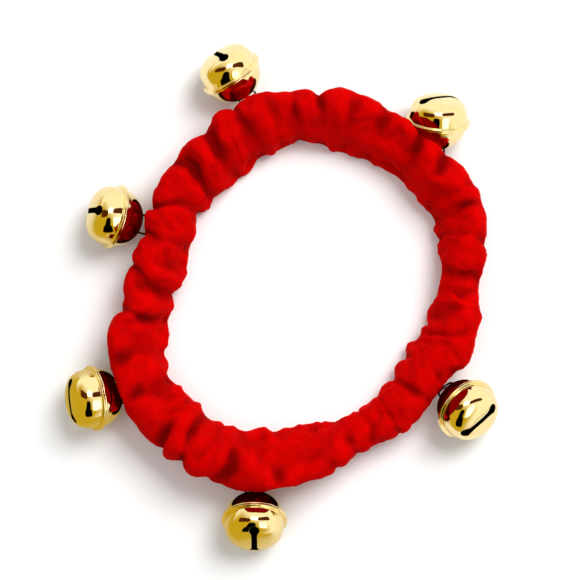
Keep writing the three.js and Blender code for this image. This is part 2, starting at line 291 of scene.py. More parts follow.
def add_panel(name, to_x, to_y, half_sizes, colour, strength=1, turn=0):
    """A rounded oblong of the room that only the bells' reflections show, facing them. How far it stands from
    overhead towards +X and towards +Y, its half sizes and its turn are in degrees."""
    distance = 2
    place = Vector((math.tan(math.radians(to_x)), math.tan(math.radians(to_y)), 1)).normalized() * distance
    width, height = (2 * distance * math.tan(math.radians(half)) for half in half_sizes)
    spin = Matrix.Rotation(math.radians(turn), 3, "Z")
    corners = []
    for x, y in arc(1, 0, 345, 23):
        across = math.copysign(abs(x) ** 0.5, x) * width / 2
        up = math.copysign(abs(y) ** 0.5, y) * height / 2
        corners.append(spin @ Vector((across, up, 0)))
    panel = add_mesh(name, corners, [tuple(range(len(corners)))], lit_material(name, colour, strength)[0])
    panel.location = place
    facing = -place.normalized()
    level = Vector((0, 1, 0)).cross(facing).normalized()
    panel.rotation_euler = Matrix((level, facing.cross(level), facing)).transposed().to_euler()
    only_reflected(panel)


def add_floor_card():
    """The table away to the lower left, as the bells reflect it: dim and warm, like that side of the room."""
    half, height = 3, 0.05 * MM
    way = (-0.8, -0.6, 0)
    starts, ends = 12 * MM, 75 * MM
    material, light = lit_material("floor_card", (0.58, 0.42, 0.03))
    tree = material.node_tree
    place = add_node(tree, "ShaderNodeTexCoord").outputs["Object"]
    away = add_node(tree, "ShaderNodeVectorMath", {0: place, 1: way}, operation="DOT_PRODUCT")
    fade = map_range(tree, away.outputs["Value"], starts, ends, 0.2, 1, "SMOOTHSTEP")
    clear = add_node(tree, "ShaderNodeBsdfTransparent").outputs["BSDF"]
    shaders = {"Fac": fade, 1: clear, 2: light.outputs["Emission"]}
    show(tree, add_node(tree, "ShaderNodeMixShader", shaders).outputs["Shader"])
    only_reflected(add_square("floor_card", half, height, material))


def add_stage():
    white, brown, black = (0.92, 0.92, 0.92), (0.09, 0.02, 0.004), (0.001, 0.001, 0.001)
    add_square("floor", half=6, height=0, material=matt_material("floor", white))
    add_tent()
    add_panel("gap_left", -38, 8, (24, 12), brown, turn=10)
    add_panel("gap_right", 38, 17, (24, 10), brown, turn=-8)
    add_panel("window", 0, 15, (13, 11), (1, 0.98, 0.94), strength=3)
    add_panel("viewer", -14, -44, (14, 30), black, turn=14)
    add_panel("viewer_base", -20, -62, (20, 17), black, turn=16)
    add_panel("softbox", 33, -34, (13, 19), (1, 0.98, 0.93), strength=2, turn=-12)
    add_floor_card()


def veil_material():
    """A clear dark wall: it lets the least through on the side away from the light."""
    near, far = -30 * MM, 50 * MM
    material, tree, shader = new_material("veil")
    tree.nodes.remove(shader)
    place = add_node(tree, "ShaderNodeTexCoord").outputs["Object"]
    along = add_node(tree, "ShaderNodeSeparateXYZ", {0: place}).outputs["Y"]
    passed = map_range(tree, along, near, far, 0.10, 0.60)
    show(tree, add_node(tree, "ShaderNodeBsdfTransparent", {"Color": passed}).outputs["BSDF"])
    return material


def add_strip(name, lines, material):
    """A strip that runs all the way round the band, through lines of places at a height each."""
    points = [(x, y, height) for line, height in lines for x, y in line]
    count = len(points) // len(lines)
    faces = []
    for row in range(len(lines) - 1):
        start, next_row = row * count, (row + 1) * count
        for i in range(count):
            after = (i + 1) % count
            faces.append((start + i, start + after, next_row + after, next_row + i))
    only_reflected(add_mesh(name, points, faces, material))


def add_band_cards(ring):
    """What the bells reflect of the band beside them: its dark red flank carried higher, the deep shade under
    its edge, and a veil that dims its lit flank."""
    path = np.stack([ring.x, ring.y], axis=1)
    out = np.stack([ring.out_x, ring.out_y], axis=1)
    edge = ring.half[:, None]
    flank = [(path, 11 * MM), (path - out * MM, 20 * MM), (path - out * 4 * MM, 31 * MM)]
    shade = [(path, 0.1 * MM), (path + out * (edge + 1 * MM), 0.1 * MM)]
    beside = path + out * (edge + 0.3 * MM)
    add_strip("flank_card", flank, lit_material("flank_card", (0.22, 0, 0))[0])
    add_strip("shade_card", shade, lit_material("shade_card", (0.022, 0.003, 0.001))[0])
    add_strip("veil", [(beside, 0.2 * MM), (beside, 14 * MM)], veil_material())


# ---- materials ----


class Shader:
    """A Principled material being wired up."""

    def __init__(self, name):
        self.material, self.tree, self.surface = new_material(name)
        self.place = self.node("ShaderNodeTexCoord").outputs["Object"]

    def set(self, **sockets):
        for name, value in sockets.items():
            self.surface.inputs[name.replace("_", " ")].default_value = value

    def node(self, kind, inputs=None, **settings):
        return add_node(self.tree, kind, inputs, **settings)

    def feed(self, **sockets):
        for name, socket in sockets.items():
            self.tree.links.new(socket, self.surface.inputs[name.replace("_", " ")])

    def noise(self, scale, detail, roughness):
        inputs = {"Vector": self.place, "Scale": scale, "Detail": detail, "Roughness": roughness}
        return self.node("ShaderNodeTexNoise", inputs).outputs["Fac"]

    def ramp(self, value, low, high, from_min=0, from_max=1):
        return map_range(self.tree, value, from_min, from_max, low, high)

    def mix(self, factor, first, second):
        inputs = {"Factor": factor, 6: first, 7: second}  # 6 and 7 are its colours
        return self.node("ShaderNodeMix", inputs, data_type="RGBA").outputs[2]

    def bump(self, height, strength, distance):
        inputs = {"Height": height, "Strength": strength, "Distance": distance}
        return self.node("ShaderNodeBump", inputs).outputs["Normal"]


def plush_material():
    shader = Shader("red_plush")
    nap = shader.noise(scale=260, detail=3, roughness=0.6)
    pile = shader.noise(scale=2600, detail=2, roughness=0.7)
    # Painted shade: the pile's colour is darkened toward (0.07, 0, 0) in the sleeve's creases.
    painted_crease_shade = shader.node("ShaderNodeAttribute", attribute_name="painted_crease_shade").outputs["Fac"]
    shade = shader.mix(shader.ramp(nap, 0, 1, 0.3, 0.7), (0.47, 0, 0, 1), (0.67, 0, 0, 1))
    rough = shader.mix(shader.ramp(pile, 0, 0.3), shade, (0.34, 0, 0, 1))
    colour_with_crease_shade = shader.mix(shader.ramp(painted_crease_shade, 0, 0.78), rough, (0.07, 0, 0, 1))
    bumps = shader.bump(pile, strength=0.35, distance=0.2 * MM)
    shader.feed(Base_Color=colour_with_crease_shade, Roughness=shader.ramp(nap, 0.85, 1), Normal=bumps)
    shader.set(Specular_IOR_Level=0.02, Sheen_Weight=0.4, Sheen_Roughness=0.45, Sheen_Tint=(1, 0, 0, 1))
    return shader.material


def gold_material():
    shader = Shader("gold_plate")
    cloud = shader.noise(scale=420, detail=3, roughness=0.55)
    speck = shader.noise(scale=5200, detail=2, roughness=0.6)
    colour = shader.mix(shader.ramp(cloud, 0, 1, 0.3, 0.7), (0.95, 0.775, 0.38, 1), (0.96, 0.81, 0.44, 1))
    bumps = shader.bump(speck, strength=0.08, distance=0.02 * MM)
    shader.feed(Base_Color=colour, Roughness=shader.ramp(cloud, 0.035, 0.085, 0.3, 0.75), Normal=bumps)
    shader.set(Metallic=1, Coat_Weight=0.5, Coat_Roughness=0.04)
    return shader.material


def metal_material(name, dark, light, roughness):
    shader = Shader(name)
    cloud = shader.noise(scale=900, detail=3, roughness=0.6)
    colour = shader.mix(shader.ramp(cloud, 0, 1, 0.3, 0.7), (*dark, 1), (*light, 1))
    bumps = shader.bump(cloud, strength=0.2, distance=0.03 * MM)
    shader.feed(Base_Color=colour, Roughness=shader.ramp(cloud, *roughness, 0.3, 0.7), Normal=bumps)
    shader.set(Metallic=1)
    return shader.material


def thread_material(name, dark, light):
    shader = Shader(name)
    strands = shader.noise(scale=3200, detail=2, roughness=0.6)
    bumps = shader.bump(strands, strength=0.6, distance=0.05 * MM)
    shader.feed(Base_Color=shader.mix(strands, (*dark, 1), (*light, 1)), Normal=bumps)
    shader.set(Roughness=0.8, Specular_IOR_Level=0.15, Sheen_Weight=0.3)
    return shader.material


GOLD = gold_material()
# Painted shade: the bell's inside, its wire loop and its steel ball are coloured near-black, far darker than their
# bare metal, for the shade and dark reflections they show in and beside the bell.
SHADED_INSIDE = metal_material("bell_inside_painted_shade", (0.020, 0.015, 0.008), (0.05, 0.035, 0.015), (0.45, 0.65))
SHADED_WIRE = metal_material("wire_painted_dark", (0.015, 0.013, 0.012), (0.05, 0.045, 0.04), (0.35, 0.5))
SHADED_STEEL = metal_material("steel_ball", (0.05, 0.05, 0.055), (0.12, 0.12, 0.125), (0.3, 0.45))
PLUSH = plush_material()
THREAD = thread_material("sewing_thread", (0.02, 0.003, 0.003), (0.09, 0.008, 0.008))
RUBBER = thread_material("woven_elastic", (0.62, 0.60, 0.56), (0.8, 0.78, 0.74))


# ---- mesh helpers ----


def arc(radius, start, end, steps):
    """Points of an arc about the origin, from one angle to another in degrees."""
    angles = np.radians(np.linspace(start, end, steps + 1))
    return [(radius * math.cos(a), radius * math.sin(a)) for a in angles]


def add_piece(name, points, faces, materials, face_materials=None, normals=None):
    mesh = bpy.data.meshes.new(name)
    mesh.from_pydata([tuple(p) for p in points], [], faces)
    for material in materials:
        mesh.materials.append(material)
    if face_materials is not None:
        mesh.polygons.foreach_set("material_index", face_materials)
    mesh.polygons.foreach_set("use_smooth", [True] * len(faces))
    mesh.update()
    if normals is not None:
        mesh.normals_split_custom_set_from_vertices([tuple(n) for n in normals])
    return link(bpy.data.objects.new(name, mesh))


def tube(path, radius, sides=12):
    """Points and faces of a round tube along a path, with rounded ends."""
    line = [Vector(p) for p in path]
    last = len(line) - 1
    reference = None
    rings = []
    for i, point in enumerate(line):
        tangent = (line[min(i + 1, last)] - line[max(i - 1, 0)]).normalized()
        if reference is None:
            reference = tangent.orthogonal()
        reference = (reference - tangent * reference.dot(tangent)).normalized()
        rings.append((point, tangent, reference, tangent.cross(reference)))
    rings = cap_rings(rings, radius, -1) + [(*r, radius) for r in rings] + cap_rings(rings, radius, 1)
    points, faces = [], []
    for centre, _, first, second, size in rings:
        for j in range(sides):
            angle = math.tau * j / sides
            points.append(centre + size * (math.cos(angle) * first + math.sin(angle) * second))
    for i in range(len(rings) - 1):
        a, b = i * sides, (i + 1) * sides
        for j in range(sides):
            k = (j + 1) % sides
            faces.append((a + j, a + k, b + k, b + j))
    end = (len(rings) - 1) * sides
    faces.append(tuple(reversed(range(sides))))
    faces.append(tuple(range(end, end + sides)))
    return points, faces


def cap_rings(rings, radius, way):
    """The shrinking rings of a tube's rounded end, in the order that the tube needs them."""
    centre, tangent, first, second = rings[0] if way < 0 else rings[-1]
    caps = []
    for angle in (25, 50, 75):
        out = math.sin(math.radians(angle)) * radius
        size = math.cos(math.radians(angle)) * radius
        caps.append((centre + way * out * tangent, tangent, first, second, size))
    return caps[::-1] if way < 0 else caps


def smooth_path(points, per_span=8):
    """A Catmull-Rom curve through points."""
    line = [Vector(p) for p in points]
    last = len(line) - 1
    path = []
    for i in range(last):
        p0, p1, p2, p3 = line[max(i - 1, 0)], line[i], line[i + 1], line[min(i + 2, last)]
        for step in range(per_span):
            t = step / per_span
            bend = (2 * p0 - 5 * p1 + 4 * p2 - p3) * t * t + (3 * p1 - p0 - 3 * p2 + p3) * t ** 3
            path.append((2 * p1 + (p2 - p0) * t + bend) / 2)
    path.append(line[-1])
    return path


# ---- bells ----

HEM_SHEET = SHEET / 2
HEM_IN = HEM_SHEET + HEM_GAP
HEM_OUT = HEM_IN + SHEET
HEM_FOOT = 0.17 * MM  # the radius of the curve from the hem up into the shell
HEM_RISE = HEM_OUT + 0.22 * MM  # where that curve has become the shell
INSIDE_START = 0.3 * MM  # the height where the inside skin ends
CAP_SEGMENTS = 128
CAP_RINGS = 26
# The inner material is painted shade: near-black metal for the dark inside the bell.
OUTER_FINISH, INNER_PAINTED_SHADE = 0, 1  # a shell's materials
HOLE_BEVEL = 0.07 * MM


class Dome:
    """A half bell's surface: a quarter of a superellipse turned about Z, and unrolled by its length from the
    pole."""

    def __init__(self, pole, power, samples=800):
        self.pole, self.power = pole, power
        angle = np.linspace(0, math.pi / 2, samples)
        self.radius = SHELL_RADIUS * np.sin(angle) ** (2 / power)
        self.height = pole * np.cos(angle) ** (2 / power)
        steps = np.hypot(np.diff(self.radius), np.diff(self.height))
        self.length = np.concatenate([[0], np.cumsum(steps)])

    def at(self, u, v, depth):
        """The place at (u, v) on the unrolled dome, at a depth under its outside, and the way outward."""
        length = math.hypot(u, v)
        across, up = (u / length, v / length) if length > 1e-9 else (1, 0)
        radius = np.interp(length, self.length, self.radius)
        height = np.interp(length, self.length, self.height)
        out = (radius / SHELL_RADIUS) ** (self.power - 1) / SHELL_RADIUS
        rise = (height / self.pole) ** (self.power - 1) / self.pole
        normal = Vector((out * across, out * up, rise)).normalized()
        return Vector((radius * across, radius * up, height)) - depth * normal, normal

    def length_to_height(self, height):
        return float(np.interp(-height, -self.height, self.length))


SLOTTED_DOME = Dome(SLOTTED_POLE, SLOTTED_SQUARENESS)
PLAIN_DOME = Dome(SHELL_POLE, 2)


def dumbbell(offset, per_arc=28, per_side=16):
    """The slot's outline on the unrolled shell, grown by an offset: lengths along the shell from its pole."""
    from_axis = math.sin(SLOT_HOLE_ANGLE) * SHELL_POLE
    centre = float(np.interp(from_axis, SLOTTED_DOME.radius, SLOTTED_DOME.length))
    radius = SLOT_HOLE_RADIUS + offset
    half = SLOT_HALF_WIDTH + offset
    neck = math.degrees(math.asin(half / radius))
    right = [(x + centre, y) for x, y in arc(radius, neck - 180, 180 - neck, per_arc)]
    inner = centre - radius * math.cos(math.radians(neck))
    top = [(inner * (1 - 2 * i / per_side), half) for i in range(1, per_side)]
    half_loop = right + top
    loop = np.array(half_loop + [(-x, -y) for x, y in half_loop])
    for _ in range(5):  # the tool that cut it had rounded corners
        loop = 0.5 * loop + 0.25 * (np.roll(loop, 1, 0) + np.roll(loop, -1, 0))
    return loop


def round_hole(x, y, radius, count=32):
    angles = np.linspace(0, math.tau, count, endpoint=False)
    return np.array([(x + radius * math.cos(a), y + radius * math.sin(a)) for a in angles])


def inside_loop(point, loop):
    x, y = point
    x1, y1 = loop[:, 0], loop[:, 1]
    x2, y2 = np.roll(x1, -1), np.roll(y1, -1)
    crosses = (y1 > y) != (y2 > y)
    with np.errstate(divide="ignore", invalid="ignore"):
        at = x1 + (y - y1) / (y2 - y1) * (x2 - x1)
    return bool(np.count_nonzero(crosses & (x < at)) % 2)


class ShellBuilder:
    """Gathers a shell's points, outward normals, faces and each face's finish."""

    def __init__(self, dome):
        self.dome = dome
        self.points, self.normals, self.faces, self.finishes = [], [], [], []

    def add(self, point, normal):
        self.points.append(Vector(point))
        self.normals.append(Vector(normal))
        return len(self.points) - 1

    def face(self, corners, finish):
        self.faces.append(tuple(corners))
        self.finishes.append(finish)

    def ring_faces(self, first, second, finish):
        count = len(first)
        for j in range(count):
            k = (j + 1) % count
            self.face((first[j], first[k], second[k], second[j]), finish)

    def skin(self, loops, depth, outside):
        """One side of the half bell, round the holes' loops, from the pole to just short of the rim. Returns
        the ids of the loops' points and of the outer ring's."""
        clearance = 0.14 * MM
        finish = OUTER_FINISH if outside else INNER_PAINTED_SHADE
        top = self.dome.length_to_height(HEM_RISE if outside else INSIDE_START)
        flat, edges = [], []
        for loop in loops:
            start = len(flat)
            flat += [tuple(p) for p in loop]
            edges += [(start + i, start + (i + 1) % len(loop)) for i in range(len(loop))]
        outer_start = len(flat)
        for i in range(CAP_SEGMENTS):
            angle = math.tau * i / CAP_SEGMENTS
            flat.append((top * math.cos(angle), top * math.sin(angle)))
        edges += [(outer_start + i, outer_start + (i + 1) % CAP_SEGMENTS) for i in range(CAP_SEGMENTS)]
        for ring in range(1, CAP_RINGS):
            radius = top * ring / CAP_RINGS
            count = max(12, int(CAP_SEGMENTS * ring / CAP_RINGS))
            for i in range(count):
                angle = math.tau * (i + 0.5 * (ring % 2)) / count
                point = (radius * math.cos(angle), radius * math.sin(angle))
                near = any(np.min(np.hypot(*(loop - point).T)) < clearance for loop in loops)
                if not near and not any(inside_loop(point, loop) for loop in loops):
                    flat.append(point)
        spots, _, triangles, *_ = delaunay_2d_cdt([Vector(p) for p in flat], edges, [], 0, 1e-9)
        ids = []
        for i, spot in enumerate(spots):
            point, normal = self.dome.at(spot.x, spot.y, depth)
            ids.append(self.add(point, normal if outside else -normal))
        for triangle in triangles:
            middle = sum((spots[i] for i in triangle), Vector((0, 0))) / len(triangle)
            if middle.length > top or any(inside_loop((middle.x, middle.y), loop) for loop in loops):
                continue
            corners = [ids[i] for i in triangle]
            a, b, c = (self.points[i] for i in corners[:3])
            turned = (b - a).cross(c - a).dot(self.normals[corners[0]])
            self.face(corners if turned > 0 else corners[::-1], finish)
        return ids[:outer_start], ids[outer_start:outer_start + CAP_SEGMENTS]

    def wall(self, make_loop, outer_ids, inner_ids):
        """The cut edge of a hole, rounded where it meets the outside. Each row has how far it stands back and
        how deep it lies, in mm, and how much its normal faces outward."""
        rows = ((0.035, 0.018, 0.75), (0.010, 0.055, 0.4), (0.0, 0.10, 0.05))
        previous = outer_ids
        for grow, depth, lean in rows:
            ids = []
            loop = make_loop(grow * MM)
            count = len(loop)
            for i, (u, v) in enumerate(loop):
                point, normal = self.dome.at(u, v, depth * MM)
                along = Vector((*(loop[(i + 1) % count] - loop[i - 1]), 0)).normalized()
                inward = Vector((-along.y, along.x, 0))
                inward = (inward - normal * inward.dot(normal)).normalized()
                ids.append(self.add(point, (lean * normal + (1 - lean) * inward).normalized()))
            self.ring_faces(previous, ids, OUTER_FINISH)
            previous = ids
        self.ring_faces(previous, inner_ids, INNER_PAINTED_SHADE)

    def turned_band(self, profile, start_ring, end_ring, hidden_rows):
        """Rings turned from a profile of (radius, height, normal radius, normal height)."""
        shown = len(profile) - hidden_rows
        previous = start_ring
        for index, (radius, height, out, up) in enumerate(profile):
            ids = []
            for i in range(CAP_SEGMENTS):
                angle = math.tau * i / CAP_SEGMENTS
                x, y = math.cos(angle), math.sin(angle)
                normal = Vector((out * x, out * y, up)).normalized()
                ids.append(self.add((radius * x, radius * y, height), normal))
            self.ring_faces(ids, previous, OUTER_FINISH if index < shown else INNER_PAINTED_SHADE)
            previous = ids
        self.ring_faces(end_ring, previous, INNER_PAINTED_SHADE)


def with_normals(outline):
    """Gives each point of a profile the normal of its outline, on the left of the way it runs."""
    spots = [Vector(p) for p in outline]
    found = []
    for i, spot in enumerate(spots):
        way = (spots[min(i + 1, len(spots) - 1)] - spots[max(i - 1, 0)]).normalized()
        found.append((spot.x, spot.y, -way.y, way.x))
    return found


def fillet(centre, radius, start, end, steps):
    return [(centre[0] + x, centre[1] + y) for x, y in arc(radius, start, end, steps)]


def slotted_profile():
    """From the shell's outside down round the rolled hem, and back to the shell's inside."""
    round_out = 0.26 * MM
    lip = 0.24 * MM
    tip = 0.06 * MM
    groove = 0.05 * MM
    edge = RIM_RADIUS - round_out
    hem_low = -HEM_OUT
    return with_normals([
        (SHELL_RADIUS - 0.004 * MM, HEM_RISE),
        *fillet((SHELL_RADIUS + HEM_FOOT, HEM_OUT + HEM_FOOT), HEM_FOOT, 180, 270, 6),
        (SHELL_RADIUS + 2 * HEM_FOOT, HEM_OUT),
        *fillet((edge, HEM_OUT - round_out), round_out, 90, 0, 8),
        (RIM_RADIUS, 0.04 * MM),
        (RIM_RADIUS - groove, -0.03 * MM),
        (RIM_RADIUS - groove, -0.07 * MM),
        (RIM_RADIUS - 0.01 * MM, -0.13 * MM),
        *fillet((RIM_RADIUS - lip, hem_low + lip), lip, 0, -90, 8),
        (HEM_INNER_RADIUS + 0.08 * MM, hem_low),
        *fillet((HEM_INNER_RADIUS + tip, hem_low + tip), tip, -90, -180, 4),
        (HEM_INNER_RADIUS, -HEM_IN),
        (RIM_RADIUS - SHEET, -HEM_IN),
        (RIM_RADIUS - SHEET, HEM_IN),
        (SHELL_RADIUS - SHEET, HEM_IN),
    ])


def upper_profile():
    flange = RIM_RADIUS - SHEET - HEM_GAP
    return with_normals([
        (SHELL_RADIUS - 0.01 * MM, HEM_SHEET + 0.25 * MM),
        (SHELL_RADIUS, HEM_SHEET),
        (flange, HEM_SHEET),
        (flange, -HEM_SHEET),
        (SHELL_RADIUS - SHEET, -HEM_SHEET),
    ])


def build_cap(dome, make_loops, profile, hidden_rows):
    """A half bell with its pole at +Z: outside skin, hole edges, hem and inside skin. The profile's last rows
    are inside the bell."""
    shell = ShellBuilder(dome)
    outer_loops = [make(HOLE_BEVEL) for make in make_loops]
    inner_loops = [make(0.0) for make in make_loops]
    outer_ids, outer_ring = shell.skin(outer_loops, depth=0, outside=True)
    inner_ids, inner_ring = shell.skin(inner_loops, depth=SHEET, outside=False)
    start = 0
    for make, loop in zip(make_loops, outer_loops):
        end = start + len(loop)
        shell.wall(make, outer_ids[start:end], inner_ids[start:end])
        start = end
    shell.turned_band(profile, outer_ring, inner_ring, hidden_rows)
    return shell


def slotted_shell():
    return build_cap(SLOTTED_DOME, [dumbbell], slotted_profile(), hidden_rows=5)


def upper_shell():
    leg = BAIL_SPACING / 2
    makers = [
        lambda grow, side=side: round_hole(0, side * leg, WIRE_HOLE_RADIUS + grow) for side in (-1, 1)
    ]
    return build_cap(PLAIN_DOME, makers, upper_profile(), hidden_rows=2)


def place_shell(name, node, shell, transform, body):
    turn = transform.to_3x3()
    points = [transform @ p for p in shell.points]
    normals = [turn @ n for n in shell.normals]
    faces = shell.faces
    if turn.determinant() < 0:
        faces = [face[::-1] for face in faces]
    piece = add_piece(name, points, faces, [GOLD, SHADED_INSIDE], shell.finishes, normals)
    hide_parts(node)
    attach(piece, body)


def bail_path():
    """The wire's middle, from one bent foot inside the bell up over the crown and down to the other."""
    leg = BAIL_SPACING / 2
    crown = SHELL_POLE + BAIL_REACH
    half = [  # each place's distance to the side, and from the bell's middle toward the crown
        (leg + 1.2 * MM, 5.25 * MM),
        (leg + 0.35 * MM, 5.75 * MM),
        (leg, 6.4 * MM),
        (leg, crown - 1.1 * MM),
        (leg - 0.6 * MM, crown - 0.25 * MM),
    ]
    return [(0, -y, -z) for y, z in half] + [(0, 0, -crown)] + [(0, y, -z) for y, z in reversed(half)]


def add_bail(bell):
    path = [bell.to_world @ Vector(p) for p in bail_path()]
    points, faces = tube(smooth_path(path), WIRE_RADIUS)
    piece = add_piece(f"wire_loop_{bell.number}", points, faces, [SHADED_WIRE])
    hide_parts(f"bail_{bell.number}")
    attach(piece, bell.body)


def add_pellet(bell):
    dent_scale, deepest = 700, 0.03  # a rolled steel ball, not quite round: the dents' depth is in mm
    bm = bmesh.new()
    bmesh.ops.create_icosphere(bm, subdivisions=4, radius=PELLET_RADIUS)
    low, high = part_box(f"pellet_{bell.number}")
    middle = (Vector(low) + Vector(high)) / 2
    for vertex in bm.verts:
        dent = noise.noise(vertex.co * dent_scale) * deepest * MM
        vertex.co += vertex.co.normalized() * dent + middle
    mesh = bpy.data.meshes.new(f"ball_{bell.number}")
    bm.to_mesh(mesh)
    bm.free()
    mesh.polygons.foreach_set("use_smooth", [True] * len(mesh.polygons))
    mesh.materials.append(SHADED_STEEL)
    piece = link(bpy.data.objects.new(f"ball_{bell.number}", mesh))
    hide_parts(f"pellet_{bell.number}")
    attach(piece, f"pellet_{bell.number}")


def add_bell(bell, slotted, upper):
    slot_turn = math.radians(SLOT_TURNS[bell.number - 1])
    outer = bell.to_world @ Matrix.Rotation(slot_turn, 4, "Z")
    inner = bell.to_world @ Matrix.Scale(-1, 4, (0, 0, 1))
    number = bell.number
    place_shell(f"bell_{number}_slotted_half", f"slotted_shell_{number}", slotted, outer, bell.body)
    place_shell(f"bell_{number}_plain_half", f"upper_shell_{number}", upper, inner, bell.body)
    add_bail(bell)
    add_pellet(bell)


# ---- the sleeve ----


def hit_distance(tree, angle, height):
    origin = Vector((RING_CENTRE.x, RING_CENTRE.y, height))
    way = Vector((math.cos(angle), math.sin(angle), 0))
    place, _, _, distance = tree.ray_cast(origin, way)
    return distance if place else None


def ring_from_frame(steps):
    """The elastic's radius and the sleeve's half width at even angles round the ring."""
    half_elastic, widest = 0.4 * MM, 9 * MM
    graph = bpy.context.evaluated_depsgraph_get()
    elastic = BVHTree.FromObject(NODES["elastic"], graph)
    sleeve = BVHTree.FromObject(NODES["fabric_sleeve"], graph)
    angles = np.linspace(0, math.tau, steps, endpoint=False)
    core = np.array([hit_distance(elastic, a, CORE_HEIGHT) or np.nan for a in angles])
    inner = np.array([hit_distance(sleeve, a, CORE_HEIGHT) or np.nan for a in angles])
    core += half_elastic
    half = core - inner
    half[half > widest] = np.nan
    for values in (core, half):
        good = np.isfinite(values)
        values[:] = np.interp(angles, angles[good], values[good], period=math.tau)
        for _ in range(6):  # evens out the steps of the rays
            values[:] = (np.roll(values, 1) + 2 * values + np.roll(values, -1)) / 4
    return angles, core, half


@dataclass
class Ring:
    angle: np.ndarray
    x: np.ndarray
    y: np.ndarray
    out_x: np.ndarray
    out_y: np.ndarray
    half: np.ndarray
    along: np.ndarray
    bulge_out: np.ndarray
    bulge_in: np.ndarray


def read_ring():
    table, core, half = ring_from_frame(steps=180)
    gap = 0.12 * MM / core[0]  # between the sleeve's two ends, until they are closed
    angle = math.radians(SEAM_ANGLE) + np.linspace(gap, math.tau - gap, SLEEVE_STEPS + 1)
    radius = np.interp(angle, table, core, period=math.tau)
    width = np.interp(angle, table, half, period=math.tau)
    x = RING_CENTRE.x + radius * np.cos(angle)
    y = RING_CENTRE.y + radius * np.sin(angle)
    way_x, way_y = np.gradient(x), np.gradient(y)
    length = np.hypot(way_x, way_y)
    along = np.concatenate([[0], np.cumsum(np.hypot(np.diff(x), np.diff(y)))])
    bulges = [bulge_at(angle, side) for side in (BULGES_OUT, BULGES_IN)]
    return Ring(angle, x, y, way_y / length, -way_x / length, width, along, *bulges)


def degrees_from(angle, centre):
    """How far each angle is from a centre in degrees, the short way round."""
    return (np.degrees(angle) - centre + 180) % 360 - 180


def bulge_at(angle, bulges):
    """How much further the sleeve stands out at each step of the ring."""
    total = np.zeros_like(angle)
    for centre, reach, amount in bulges:
        total += amount * MM * np.exp(-((degrees_from(angle, centre) / reach) ** 2))
    return total


def fold_depth(ring, turn):
    """How deeply the folds pinch the cloth at each step of the ring, for one turn angle round the tube."""
    ring_radius, half_fold, sharpness, deepest = 41, 1.6 * MM, 1.5, 1.3  # the first is in mm
    outer_share = 0.5 + 0.5 * math.cos(turn)
    depth = np.zeros_like(ring.angle)
    for outer, inner, strength in FOLDS:
        centre = inner + (outer - inner) * outer_share
        length = np.radians(degrees_from(ring.angle, centre)) * ring_radius * MM
        depth += strength * np.exp(-np.abs(length / half_fold) ** sharpness)
    return np.minimum(depth, deepest)


def wander_at(ring, turn):
    """How far the cloth strays by itself at each step of the ring, for one turn angle round the tube."""
    x, y = math.cos(turn), math.sin(turn)
    coarse, fine, elsewhere = 4.5 * MM, 2.5 * MM, 77
    return np.array([
        noise.noise(Vector((s / coarse, 1.1 * x, 1.1 * y))) * 0.6
        + noise.noise(Vector((s / fine + elsewhere, 2 * x, 2 * y))) * 0.2
        for s in ring.along
    ]) * MM


def pinched_tube(ring):
    """The sleeve before it settles: a tube with its folds started. Its long seam is underneath."""
    seam_turn = 0.6  # inward of the lowest line
    underside = -0.7  # the height, of the tube's half, under which folds are shallower
    depth_beneath = CORE_HEIGHT * 0.98  # just off the table
    between_folds, fold_size, share_beneath = 0.35, 1.6, 0.4  # the size is in mm
    turns = np.linspace(0, math.tau, SLEEVE_SIDES + 1) - math.pi / 2 - seam_turn
    points = np.zeros((SLEEVE_STEPS + 1, SLEEVE_SIDES + 1, 3))
    for j, turn in enumerate(turns):
        up = math.sin(turn)
        tall = ring.half if up > 0 else np.full_like(ring.half, depth_beneath)
        depth = between_folds - fold_depth(ring, turn)
        pull = depth * fold_size * MM * (share_beneath if up < underside else 1)
        wander = wander_at(ring, turn)
        out = ring.half * math.cos(turn) * TUBE_SHARE + (pull + wander) * math.cos(turn)
        points[:, j, 0] = ring.x + ring.out_x * out
        points[:, j, 1] = ring.y + ring.out_y * out
        points[:, j, 2] = CORE_HEIGHT + tall * up * TUBE_SHARE + (pull + wander) * up
    return points


def grid_faces(steps, sides):
    across = sides + 1
    return [
        (i * across + j, i * across + j + 1, (i + 1) * across + j + 1, (i + 1) * across + j)
        for i in range(steps)
        for j in range(sides)
    ]


